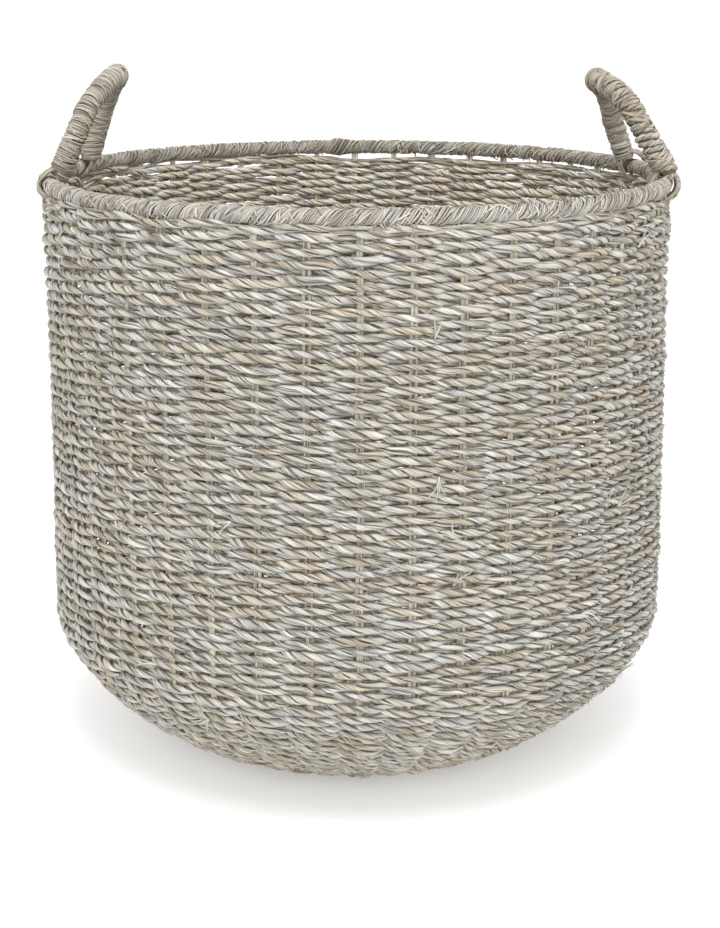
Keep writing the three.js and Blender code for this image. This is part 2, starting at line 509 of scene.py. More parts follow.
def wall_level(climb):
    """Radius, height and outward normal at a distance up the wall from the edge of the base."""
    values = [np.interp(climb, CLIMB, table) for table in (TABLE_R, TABLE_Z, TABLE_NR, TABLE_NZ)]
    size = math.hypot(values[2], values[3])
    return values[0], values[1], values[2] / size, values[3] / size


def base_level(radius):
    return radius, WALL_HALF, 0.0, -1.0


def climb_at_height(height):
    return float(np.interp(height, TABLE_Z, CLIMB))


def around(theta, radius, height):
    """Point at an angle round the basket, counted from the front towards +X."""
    height = np.broadcast_to(height, np.shape(theta))
    return np.stack([radius * np.sin(theta), -radius * np.cos(theta), height], -1)


# ---- Weaver rows ----

wobble_phase = rng.uniform(0, TURN, size=(6, 2))


def sag(theta, climb):
    """Slow unevenness that all rows share, so that neighbours stay side by side."""
    lift = 0.0
    bulge = 0.0
    for index, (first, second) in enumerate(wobble_phase):
        turns = index + 1
        lift = lift + np.sin(turns * theta + first + 9 * climb) / turns ** 0.5
        bulge = bulge + np.sin((turns + 1) * theta + second + 14 * climb) / turns
    return SAG_LIFT * lift, SAG_BULGE * bulge


def slack(theta):
    """How loosely the top rows hang below the rim: most at the back towards +X."""
    back = np.clip(-np.cos(theta) * 1.6 + 0.1, 0, 1)
    one_side = 0.5 + 0.5 * np.tanh(6 * np.sin(theta) + 0.6)
    return back * (0.35 + 0.65 * one_side)


def near_rim(height, reach):
    """Rises smoothly from 0, at reach below the rim, to 1 where the rim's own zone starts."""
    part = np.clip((height - (RIM_HEIGHT - reach)) / (reach - RIM_ZONE), 0, 1)
    return part * part * (3 - 2 * part)


def settle(theta, height):
    """How far rows near the rim lie below their even place: under each foot eye, and at the back."""
    drop = 0.0
    for joint in frame["joints"]:
        for sign in (-1, 1):
            spot = handle_place(joint)(np.array([[0.0, sign * FOOT_REACH, 0.0]]))[0]
            eye = math.atan2(spot[0], -spot[1])
            apart = np.angle(np.exp(1j * (theta - eye))) * WALL_RADIUS
            drop = drop + EYE_DROP * np.exp(-(apart / EYE_DROP_WIDTH) ** 2)
    loose = 0.6 + 0.4 * np.sin(7 * theta + 0.7) * np.cos(3 * theta)
    return near_rim(height, SETTLED_ROWS) * (drop + SLACK_DROP * slack(theta) * loose)


def row_lift(theta, radius, height, climb, stakes):
    """How far a row lies above its even place and bulges out, and how loosely it hangs."""
    lift, bulge = sag(theta, climb)
    fade = min(1.0, radius / BASE_RADIUS)
    lift = lift * fade + ROW_LIFT * ring_noise(theta, stakes)
    lift = lift + ROW_LIFT_FINE * ring_noise(theta, 3 * stakes) - settle(theta, height)
    lift = lift + ROW_LIFT_AT_RIM * near_rim(height, UNEVEN_ROWS) * ring_noise(theta, stakes // 2)
    hanging = near_rim(height, HANGING_ROWS) * slack(theta)
    lift = lift - HANGING_DROP * hanging * np.abs(ring_noise(theta, stakes))
    return lift, bulge * fade, hanging


def ply_light(theta, length, angle, fold, ridge, facing):
    """Light on one ply: less in its folds and grooves, more on the inner face of the wall."""
    shades = max(3, round(length / SHADE_LENGTH))
    light = 1 + SHADE_SPREAD * ring_noise(theta, shades) + rng.normal(0, PLY_SHADE_SPREAD)
    fold_light = np.minimum(FOLD_DARK + FOLD_LIT * fold, 1.0)
    light = light[:, None] * (1 + RIDGE_LIGHT * ridge) * fold_light
    inner = np.clip(-INNER_SHARPNESS * facing, 0, 1)
    groove = np.clip(-GROOVE_SHARPNESS * np.cos(angle), 0, 1)
    return light * (1 + INNER_LIGHT * inner) * (1 - GROOVE_SHADE * groove)


def weave_row(bundle, level, climb, stakes, side, thickness, swing, brown):
    """One row of two-ply rope, outside every other stake and inside the rest."""
    radius, height, out_r, out_z = level
    up_r, up_z = -out_z, out_r
    length = TURN * radius
    count = max(24, round(length / ROPE_STEP))
    theta = TURN * np.arange(count) / count
    wave = np.tanh(WAVE_SQUARENESS * np.cos(stakes * (theta - STAKE_TURN) / 2)) * side
    wave = wave / math.tanh(WAVE_SQUARENESS)
    crossing = 1 - np.abs(wave)
    lift, bulge, hanging = row_lift(theta, radius, height, climb, stakes)
    reach = swing * (1 + SWING_SPREAD * ring_noise(theta, stakes)) * wave
    reach = reach + (bulge if out_r > STEEP else 0.0)
    thicker = THICKNESS_SPREAD * ring_noise(theta, stakes)
    size = thickness * (1 + thicker + THICKNESS_FINE * ring_noise(theta, 3 * stakes))
    size = size * (1 - HANGING_THIN * hanging)
    middle_r = radius + out_r * reach + up_r * lift
    middle_z = height + out_z * reach + up_z * lift
    middle = around(theta, middle_r, middle_z)
    outward = around(theta, out_r, out_z)
    upward = around(theta, up_r, up_z)
    turns = max(1, round(length / TWIST_LENGTH * rng.uniform(*TWIST_SPREAD)))
    twist = rng.uniform(0, TURN) - turns * theta + TWIST_WANDER * ring_noise(theta, 2 * stakes)
    squash = size * (CROWN_PLUMP - CROSSING_SQUEEZE * crossing)
    row_tone = rng.normal(0, ROW_TONE_SPREAD) + brown
    folds = len(PLY_FOLDS)
    angle = TURN * np.arange(folds) / folds
    for ply in range(2):
        lay = twist + ply * math.pi
        ridge = np.stack([ring_noise(theta, count // FOLD_STEPS) for _ in angle], -1)
        fold = np.roll(PLY_FOLDS, int(rng.integers(folds))) * (1 + FOLD_SPREAD * ridge)
        out_part = PLY_OFFSET + PLY_DEPTH * np.cos(angle) * fold
        side_part = PLY_WIDTH * np.sin(angle) * fold
        cos, sin = np.cos(lay)[:, None], np.sin(lay)[:, None]
        along_out = (cos * out_part - sin * side_part) * size[:, None]
        along_up = (sin * out_part + cos * side_part) * squash[:, None]
        rings = middle[:, None] + along_out[..., None] * outward[:, None]
        rings = rings + along_up[..., None] * upward[:, None]
        facing = (along_out + reach[:, None]) / (swing + PLY_DEPTH + PLY_OFFSET)
        worn = np.clip(facing, 0, 1) * np.clip(wave, 0, 1)[:, None] ** 2
        wash = (0.5 + 0.5 * facing) * (1 - WORN_CROWN * worn)
        tone = (blade_tone(count, max(3, round(length / BLADE_LENGTH))) + row_tone)[:, None]
        light = ply_light(theta, length, angle, fold, ridge, facing)
        bundle.add(rings, True, tone, light, wash)


def band_marks():
    """The weaver bands of the CAD, and how far up the wall each begins."""
    names = sorted(name for name in frame["nodes"] if name.startswith("weaver_band_"))
    marks = [0.0]
    for name in names[1:]:
        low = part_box(name)[0][2]
        in_corner = low < CORNER_HEIGHT - WALL_HALF / 10
        marks.append(climb_at_height(low + WALL_HALF if in_corner else low))
    return names, marks


def build_wall(material):
    """Rows of rope all the way up, in pieces that each stand for a weaver band or half of one."""
    names, marks = band_marks()
    top = climb_at_height(RIM_HEIGHT - ROW_BELOW_RIM)
    marks.append(top)
    rows = round(top / ROW_PITCH)
    heights = np.clip(rng.normal(1, ROW_PITCH_SPREAD, size=rows), *ROW_PITCH_LIMITS)
    heights = heights * top / heights.sum()
    climbs = np.cumsum(heights) - heights / 2
    pieces = []
    for index, name in enumerate(names):
        low, high = marks[index], marks[index + 1]
        parts = ["a", "b"] if index >= CORNER_BANDS else [""]
        for number, part in enumerate(parts):
            stop = low + (high - low) * (number + 1) / len(parts)
            pieces.append((name, part, stop))
    row = 0
    for name, part, stop in pieces:
        bundle = Bundle()
        while row < rows and climbs[row] < stop:
            side = 1 if row % 2 == 0 else -1
            climb = climbs[row]
            level = wall_level(climb)
            low_down = max(0.0, 1 - climb / LOW_ROWS)
            size = heights[row] / ROW_PITCH * (1 + LOW_THICKER * low_down)
            narrow = (level[0] / WALL_RADIUS) ** 0.5 * (1 - LOW_FLATTER * low_down)
            weave_row(bundle, level, climb, STAKES, side, size, ROPE_SWING * narrow, brown_at(climb))
            row += 1
        piece = bundle.build(f"rope_{name}{part}", material)
        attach(piece, "basket")
        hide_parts(name)


def brown_at(climb):
    """The lowest rows are browner than the rest of the wall."""
    return LOW_BROWN * max(0.0, 1 - climb / BROWN_ROWS) ** 0.7


def build_base(material):
    """Flat woven base: rings of the same rope, round every stake, and near the middle every third."""
    bundle = Bundle()
    radius = BASE_RADIUS - ROW_PITCH / 2
    side = -1
    while radius > 2 * ROW_PITCH:
        stakes = STAKES if radius > BASE_SPLIT else STAKES // STAKES_PER_LONG
        weave_row(bundle, base_level(radius), 0.0, stakes, side, 1.0, BASE_SWING, BASE_BROWN)
        radius -= ROW_PITCH
        side = -side
    coil_middle(bundle)
    piece = bundle.build("rope_base_weave", material)
    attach(piece, "basket")
    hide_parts("base_weave")


def coil_middle(bundle):
    """The knot of rope in the very middle of the base: a small tight spiral."""
    count = 60
    angle = np.linspace(0, KNOT_TURNS * TURN, count)
    radius = ROW_PITCH * (0.35 + angle / TURN * 0.75)
    path = np.stack([radius * np.cos(angle), radius * np.sin(angle), np.full(count, WALL_HALF)], -1)
    rings = tube(path, PLY_WIDTH, PLY_OFFSET + PLY_DEPTH, np.array([0.0, 0.0, 1.0]), sides=8)
    bundle.add(rings, False, tone=0.6, light=1.0, wash=0.6)


# ---- Stakes, loose fibres and tails ----

def build_stakes(material):
    """Each stake is two or three thin stems side by side. They start in the base, where every third
    stake runs nearly to the middle, and end inside the rim."""
    bundle = Bundle()
    top = climb_at_height(RIM_HEIGHT - HOOP_TUBE)
    for index in range(STAKES):
        theta = STAKE_TURN + TURN * index / STAKES
        inner = LONG_STAKE_START if index % STAKES_PER_LONG == 0 else BASE_SPLIT
        stems = 3 if rng.random() < THREE_STEMS else 2
        lean = rng.normal(0, STEM_WANDER)
        for stem in range(stems):
            place = (stem - (stems - 1) / 2) * STEM_SPACING
            base_r = np.linspace(inner, BASE_RADIUS - 0.004, 12)
            climbs = np.linspace(0.004, top, 64)
            levels = np.array([base_level(r) for r in base_r] + [wall_level(c) for c in climbs])
            count = len(levels)
            wander = STEM_WANDER * line_noise(count, 9) + lean * np.linspace(-1, 1, count)
            narrow = np.clip(levels[:, 0] / BASE_SPLIT, 0.35, 1)
            across = (place + wander) * narrow
            ripple = STEM_RIPPLE * line_noise(count, 24)
            radius = levels[:, 0] + levels[:, 2] * ripple
            height = levels[:, 1] + levels[:, 3] * ripple
            path = around(np.full(count, theta), radius, height)
            path = path + across[:, None] * np.array([math.cos(theta), math.sin(theta), 0.0])
            facing = around(np.full(count, theta), levels[:, 2], levels[:, 3])
            thick = STEM_RADIUS * (1 + rng.normal(0, 0.08))
            rings = tube(path, thick * 1.1, thick * 0.9, facing, ridges=STEM_RIDGES)
            bundle.add(rings, False, rng.uniform(0.35, 0.75), 1 + 0.08 * line_noise(count, 12), 0.9)
    piece = bundle.build("stake_stems", material, columns=1)
    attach(piece, "basket")
    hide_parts(*[name for name in sorted(frame["nodes"]) if name.startswith("stake_")])


def build_loose_fibres(material):
    """Fine fibres that have worked loose, and short frayed tails where a new length of rope starts."""
    bundle = Bundle()
    low, high = FIBRES_FROM, climb_at_height(RIM_HEIGHT - FIBRES_BELOW_RIM)
    for _ in range(WHISKERS):
        theta, climb = rng.uniform(0, TURN), rng.uniform(low, high)
        slant = rng.normal(0, 0.5) + (math.pi if rng.random() < 0.5 else 0)
        length, lift = rng.uniform(*WHISKER_LENGTHS), rng.uniform(*WHISKER_LIFTS)
        add_fibre(bundle, theta, climb, slant, length, lift, WHISKER_RADIUS, WHISKER_RADIUS)
    for _ in range(TAILS):
        theta, climb = rng.uniform(0, TURN), rng.uniform(low, high)
        slant = rng.normal(0.5, 0.35) + (math.pi if rng.random() < 0.5 else 0)
        for _ in range(rng.integers(3, 6)):
            length = rng.uniform(*TAIL_LENGTHS)
            spread = slant + rng.normal(0, 0.25)
            lift = rng.uniform(*TAIL_LIFTS)
            add_fibre(bundle, theta, climb, spread, length, lift, TAIL_WIDTH, TAIL_DEPTH)
    piece = bundle.build("loose_fibres", material, columns=1)
    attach(piece, "basket")


def add_fibre(bundle, theta, climb, slant, length, lift, width, depth):
    """One tapering fibre from the wall's face, slanting across it and curling away by lift."""
    radius, height, out_r, out_z = wall_level(climb)
    steps = np.linspace(0, 1, 7)
    run = length * steps
    bend = rng.normal(0, 0.3)
    across = run * np.cos(slant + bend * steps)
    up = run * np.sin(slant + bend * steps)
    away = FIBRE_ROOT + length * lift * steps ** 1.5
    angle = theta + across / radius
    path = around(angle, radius + out_r * away - out_z * up, height + out_z * away + out_r * up)
    facing = around(angle, out_r, out_z)
    rings = tube(path, width, depth, facing, sides=4, taper=1 - 0.75 * steps ** 2)
    bundle.add(rings, False, odd_tone(), light=1.05)


# ---- Rim ----

def on_rim(theta, wind, reach):
    """Points, and the way they face, at an angle round the rim's tube and a reach from its middle."""
    path = around(theta, WALL_RADIUS + reach * np.cos(wind), RIM_HEIGHT + reach * np.sin(wind))
    return path, around(theta, np.cos(wind), np.sin(wind))


def build_rim(material):
    """The rim: fine strands wound side by side round the hoop, with strays, stubs and edge strands."""
    bundle = Bundle()
    add_rim_core(bundle)
    turns = round(TURN * WALL_RADIUS / RIM_LEAD)
    count = turns * 12
    theta = TURN * np.arange(count) / count
    drift = RIM_DRIFT * ring_noise(theta, turns) + RIM_SLOW_DRIFT * ring_noise(theta, turns // 6)
    swell = 1 + 0.06 * ring_noise(theta, 4 * turns) + 0.03 * ring_noise(theta, turns // 2)
    join = RIM_JOIN * np.exp(-((theta - RIM_JOIN_ANGLE) * WALL_RADIUS / RIM_JOIN_WIDTH) ** 2)
    for strand in range(RIM_STRANDS):
        own = 0.13 * ring_noise(theta, turns) + 0.06 * ring_noise(theta, 4 * turns)
        wind = turns * theta + TURN * strand / RIM_STRANDS + drift + own
        crown = math.sin(math.pi * (strand % RIM_GROUP + 0.5) / RIM_GROUP)
        reach = RIM_REACH + RIM_CROWN * crown + RIM_ROUGH * ring_noise(theta, 3 * turns)
        reach = reach * swell + join
        path, facing = on_rim(theta, wind, reach)
        rings = tube(path, RIM_STRAND_WIDTH, RIM_STRAND_DEPTH, facing, closed=True, ridges=STRAND_RIDGES)
        tone = blade_tone(count, round(TURN * WALL_RADIUS / 0.02))
        light = 0.93 + 0.13 * ring_noise(theta, 3 * turns)
        bundle.add(rings, True, tone, light, 0.7 + 0.3 * np.cos(wind))
    add_rim_strays(bundle)
    add_rim_stubs(bundle)
    add_edge_strands(bundle)
    piece = bundle.build("rim_strands", material)
    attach(piece, "basket")
    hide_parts("rim_lashing")


def add_rim_core(bundle):
    """Thin closed layer under the rim's strands. Its light is set low: painted shade where it shows
    between them.
    """
    count, sides = 360, 10
    step, side = np.indices((count, sides))
    theta, angle = TURN * step / count, TURN * side / sides
    core, _ = on_rim(theta, angle, RIM_CORE)
    bundle.add(core, True, tone=0.6, light=0.55, wash=0.5)


def add_rim_strays(bundle):
    """Strands that lie across the others on the rim for part of a turn, each at its own slant."""
    steps = np.linspace(0, 1, 14)
    for _ in range(RIM_STRAYS):
        sweep = rng.uniform(0.8, 2.2)
        run = rng.normal(0.7, 1.3) * RIM_LEAD * sweep / TURN
        theta = rng.uniform(0, TURN) + run * steps / WALL_RADIUS
        wind = rng.uniform(0, TURN) + sweep * steps
        reach = RIM_REACH + STRAY_ROOT + STRAY_LIFT * hump(steps)
        path, facing = on_rim(theta, wind, reach)
        width = rng.uniform(*STRAY_WIDTHS)
        rings = tube(path, width, STRAY_DEPTH, facing, sides=5, taper=stray_taper(steps))
        bundle.add(rings, False, odd_tone(0.4), rng.uniform(0.85, 1.15), 0.8)


def add_rim_stubs(bundle):
    """Short cut ends that stick out from the lower edge of the rim."""
    steps = np.linspace(0, 1, 5)
    for _ in range(RIM_STUBS):
        length = rng.uniform(0.002, 0.006)
        theta = rng.uniform(0, TURN) + rng.normal(0, 0.7) * length * steps / WALL_RADIUS
        radius = WALL_RADIUS + STUB_ROOT + rng.uniform(0.1, 0.6) * length * steps
        height = RIM_HEIGHT - STUB_ROOT - 0.8 * length * steps
        path = around(theta, radius, height)
        facing = around(theta, 1.0, 0.0)
        rings = tube(path, rng.uniform(0.0005, 0.0009), 0.0004, facing, sides=5, taper=1 - 0.4 * steps)
        bundle.add(rings, False, rng.uniform(0.2, 0.8), 1.0, 0.7)


def add_edge_strands(bundle):
    """Flat untwisted strands that weave along just below the rim."""
    count = 630
    theta = TURN * np.arange(count) / count
    for index in range(EDGE_STRANDS):
        side = 1 if index % 2 == 0 else -1
        wave = np.cos(STAKES * (theta - STAKE_TURN) / 2 + EDGE_SHIFT * index)
        wave = np.tanh(EDGE_SQUARENESS * wave) * side
        drop = EDGE_DROP + 0.0008 * index
        drop = drop + 0.0009 * ring_noise(theta, 26) + 0.0005 * ring_noise(theta, 70)
        drop = drop + SLACK_DROP * slack(theta) * (0.75 + 0.12 * index)
        away = EDGE_SWING * wave + 0.0003 * ring_noise(theta, 60)
        path = around(theta, WALL_RADIUS + away, RIM_HEIGHT - drop)
        tip = 0.5 * ring_noise(theta, 40)
        facing = around(theta, np.cos(tip), np.sin(tip))
        rings = tube(path, EDGE_WIDTH, EDGE_DEPTH, facing, closed=True, sides=8, ridges=STRAND_RIDGES)
        tone = blade_tone(count, 16) + 0.12
        bundle.add(rings, True, tone, 1 + 0.10 * ring_noise(theta, 120), 0.6 + 0.3 * wave)


# ---- Handles ----

def handle_place(joint):
    """Turns a handle's own coordinates into the frame: X outwards, Y along the rim chord, Z up."""
    origin = np.array(joint["pos_m"])
    along = -np.array(joint["axis"], dtype=float)
    upward = np.array([0.0, 0.0, 1.0])
    outward = np.cross(along, upward)
    turn = np.stack([outward, along, upward])
    return lambda points: origin + points @ turn


def arch_points(shape):
    """Middle line of the arch, evenly resampled: the CAD's centripetal Catmull-Rom curve, run on at
    both feet as far as the rim."""
    rising = list(zip(shape["first"], LEG_REACHES, LEG_HEIGHTS))
    falling = list(zip(shape["second"], LEG_REACHES, LEG_HEIGHTS))
    points = [(-inward, -along, up) for inward, along, up in rising]
    points.append((-shape["crown"][0], 0.0, shape["crown"][1]))
    points += [(-inward, along, up) for inward, along, up in reversed(falling)]
    points = np.array(points)
    points = np.vstack([2 * points[0] - points[1], points, 2 * points[-1] - points[-2]])
    curve = []
    for first, second, third, fourth in zip(points, points[1:], points[2:], points[3:]):
        steps = (second - first, third - second, fourth - third)
        before, middle, after = [np.linalg.norm(step) ** 0.5 for step in steps]
        start = ((second - first) / before - (third - first) / (before + middle)
                 + (third - second) / middle) * middle
        stop = ((third - second) / middle - (fourth - second) / (middle + after)
                + (fourth - third) / after) * middle
        t = np.linspace(0, 1, 60, endpoint=False)[:, None]
        curve.append(second + start * t + (3 * (third - second) - 2 * start - stop) * t ** 2
                     + (2 * (second - third) + start + stop) * t ** 3)
    curve = np.vstack([*curve, points[-2]])
    before = curve[0] + FOOT_RUN_ON * unit(curve[0] - curve[1])
    after = curve[-1] + FOOT_RUN_ON * unit(curve[-1] - curve[-2])
    curve = np.vstack([before, curve, after])
    length = np.concatenate([[0], np.cumsum(np.linalg.norm(np.diff(curve, axis=0), axis=1))])
    even = np.linspace(0, length[-1], 400)
    return np.stack([np.interp(even, length, curve[:, axis]) for axis in range(3)], -1), length[-1]


class Arch:
    """A handle's middle line, with directions across it, that strands are wound round."""

    def __init__(self, side, joint):
        self.place = handle_place(joint)
        self.points, self.length = arch_points(ARCHES[side])
        tangent = unit(np.gradient(self.points, axis=0))
        out = self.points - np.array(ARCH_MIDDLE)
        self.out = unit(out - tangent * (out * tangent).sum(-1, keepdims=True))
        self.across = np.cross(self.out, tangent)

    def wrap(self, part, wind, reach, lean=0.0):
        """Points, and the way they face, at an angle round the arch and a reach from its middle."""
        part = part + lean / self.length
        grid = np.linspace(0, 1, len(self.points))

        def at(values):
            return np.stack([np.interp(part, grid, values[:, axis]) for axis in range(3)], -1)

        facing = np.cos(wind)[:, None] * at(self.out) + np.sin(wind)[:, None] * at(self.across)
        to_foot = np.minimum(part, 1 - part) * self.length
        drawn_in = 1 - FOOT_TAPER * np.exp(-(to_foot / FOOT_TAPER_LENGTH) ** 2)
        return at(self.points) + (reach * drawn_in)[:, None] * facing, facing


def build_handle(side, joint, material):
    """Winding of one handle. The right one has coarse rope up its first leg, the rest is fine."""
    arch = Arch(side, joint)
    bundle = Bundle()
    # Core under the winding strands, its light set low: painted shade where it shows between them.
    count, sides = 90, 10
    part, reach = np.linspace(0, 1, count), np.full(count, WINDING_CORE)
    angle = TURN * np.arange(sides) / sides
    rings = [arch.wrap(part, np.full(count, turn), reach)[0] for turn in angle]
    bundle.add(arch.place(np.stack(rings, 1)), False, tone=0.75, light=0.5, wash=0.4)
    first = 0.0
    if side == "right":
        first = COARSE_PART
        add_coarse_winding(bundle, arch, first)
    add_fine_winding(bundle, arch, first, 1 if side == "right" else -1)
    add_winding_strays(bundle, arch, first)
    piece = bundle.build(f"handle_strands_{side}", material)
    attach(piece, f"handle_{side}")
    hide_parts(f"handle_winding_{side}")


def add_fine_winding(bundle, arch, first, hand):
    """Bands of fine strands from first to the far foot, each band a single turn round the arch."""
    turns = round(arch.length * (1 - first) / BAND_PITCH)
    count = turns * 18
    part = np.linspace(first, 1, count)
    wind = hand * TURN * turns * np.linspace(0, 1, count)
    swell = 1 + 0.03 * line_noise(count, turns // 2) + 0.03 * line_noise(count, 2 * turns)
    tilt = BAND_TILT * line_noise(count, turns)
    band_tone = line_noise(count, turns)
    for strand in range(BAND_STRANDS):
        offset = (strand - (BAND_STRANDS - 1) / 2) / BAND_STRANDS
        crown = 1 - 1.2 * abs(offset)
        rough = BAND_ROUGH * line_noise(count, 3 * turns)
        reach = (WINDING_REACH + BAND_CROWN * crown + rough) * swell
        lean = BAND_PITCH * offset + tilt * np.cos(wind) + WINDING_SLANT * np.sin(wind)
        lean = lean + BAND_WANDER * line_noise(count, 3 * turns)
        path, facing = arch.wrap(part, wind, reach, lean)
        rings = tube(path, BAND_STRAND_WIDTH, BAND_STRAND_DEPTH, facing, ridges=PLY_RIDGES)
        tone = np.clip(0.42 + 0.06 * band_tone + 0.15 * line_noise(count, 3 * turns), 0, 1)
        light = 1 + 0.13 * line_noise(count, 4 * turns)
        bundle.add(arch.place(rings), False, tone, light, 0.75)


def add_coarse_winding(bundle, arch, last):
    """Two-ply rope wound up the arch from its first foot to last."""
    turns = round(arch.length * last / COARSE_PITCH)
    count = turns * 30
    part = np.linspace(0, last, count)
    wind = TURN * turns * np.linspace(0, 1, count)
    reach = COARSE_REACH + COARSE_ROUGH * line_noise(count, 3 * turns)
    reach = reach * (1 + COARSE_FOOT * np.exp(-(part * arch.length / COARSE_FOOT_LENGTH) ** 2))
    lean = 0.0007 * line_noise(count, 2 * turns) + WINDING_SLANT * np.sin(wind)
    path, facing = arch.wrap(part, wind, reach, lean)
    add_twisted(bundle, arch.place, path, facing, COARSE_PLY, COARSE_LAY)


def add_winding_strays(bundle, arch, first):
    """Strands that lie across the winding for part of a turn, each at its own slant."""
    steps = np.linspace(0, 1, 12)
    for _ in range(WINDING_STRAYS):
        middle = rng.uniform(0, 1)
        coarse = 1.6 if middle < first else 1.0
        run = rng.normal(0, 0.0050) * coarse
        wind = rng.uniform(0, TURN) + rng.uniform(1.2, 3.4) * steps
        reach = WINDING_REACH + 0.0004 + 0.0006 * hump(steps) * coarse
        path, facing = arch.wrap(np.full(12, middle), wind, reach, run * (steps - 0.5))
        width = rng.uniform(0.0005, 0.0009) * coarse
        rings = tube(path, width, 0.00045 * coarse, facing, sides=5, taper=stray_taper(steps))
        bundle.add(arch.place(rings), False, odd_tone(), rng.uniform(0.85, 1.15), 0.8)


def add_twisted(bundle, place, path, facing, ply, lay, closed=False):
    """Two plies of the given radius laid round each other along a path, one turn in each lay."""
    count = len(path)
    ends = np.vstack([path, path[:1]]) if closed else path
    length = np.linalg.norm(np.diff(ends, axis=0), axis=1).sum()
    part = np.linspace(0, 1, count, endpoint=not closed)
    across = np.cross(unit(facing), path_tangent(path, closed))
    turns = max(1, round(length / lay))
    start = rng.uniform(0, TURN)
    for index in range(2):
        angle = start + index * math.pi + TURN * turns * part
        lift = np.cos(angle)[:, None] * facing + np.sin(angle)[:, None] * across
        strand = path + 0.85 * ply * lift
        rings = tube(strand, ply * 1.3, ply, lift, closed, sides=8, ridges=PLY_RIDGES)
        tones = np.clip(ODD_TONE + 0.14 * line_noise(count, max(6, round(length / 0.012))), 0, 1)
        light = 1 + 0.12 * line_noise(count, max(9, round(length / 0.006)))
        bundle.add(place(rings), closed, tones, light, 0.8)


def build_eye(side, foot, joint, sign, material):
    """Foot eye: strands passed round the rim and drawn up into the foot of the winding."""
    place = handle_place(joint)
    bundle = Bundle()
    inward = ARCHES[side]["first" if sign < 0 else "second"][0]
    toward = math.atan2(LEG_HEIGHTS[0], -inward)
    tip = math.hypot(inward, LEG_HEIGHTS[0]) * EYE_TIP
    count = 80
    angle = TURN * np.arange(count) / count
    rise = np.exp(-(np.angle(np.exp(1j * (angle - toward))) / EYE_TIP_SPREAD) ** 2)
    facing = np.stack([np.cos(angle), np.zeros(count), np.sin(angle)], -1)
    for index in range(EYE_STRANDS):
        share = index / (EYE_STRANDS - 1) - 0.5
        layer = EYE_REACH[side] + (EYE_LAYER if index % 2 else 0.0)
        reach = layer + EYE_ROUGH * ring_noise(angle, 6) + (tip - layer) * rise
        sway = EYE_SWAY * np.cos(angle + 1.9 * index) + EYE_ROUGH * ring_noise(angle, 7)
        along = sign * FOOT_REACH + EYE_WIDTH * share * (1 - EYE_NARROWER * rise) + sway
        path = reach[:, None] * facing + along[:, None] * np.array([0.0, 1.0, 0.0])
        if index % 2:
            add_twisted(bundle, place, path, facing, EYE_PLY, EYE_LAY, closed=True)
        else:
            size = (EYE_STRAND_WIDTH, EYE_STRAND_DEPTH)
            rings = tube(path, *size, facing, closed=True, sides=8, ridges=STRAND_RIDGES)
            tone = np.clip(0.45 + 0.15 * ring_noise(angle, 7), 0, 1)
            bundle.add(place(rings), True, tone, 1 + 0.1 * ring_noise(angle, 12), 0.8)
    piece = bundle.build(f"eye_rope_{side}_{foot}", material, columns=1)
    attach(piece, f"handle_{side}")
    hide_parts(f"foot_eye_{side}_{foot}")


# ---- Materials ----

def set_inputs(node, **values):
    """Sets a node's inputs; an underscore in a title stands for a space."""
    for title, value in values.items():
        node.inputs[title.replace("_", " ")].default_value = value


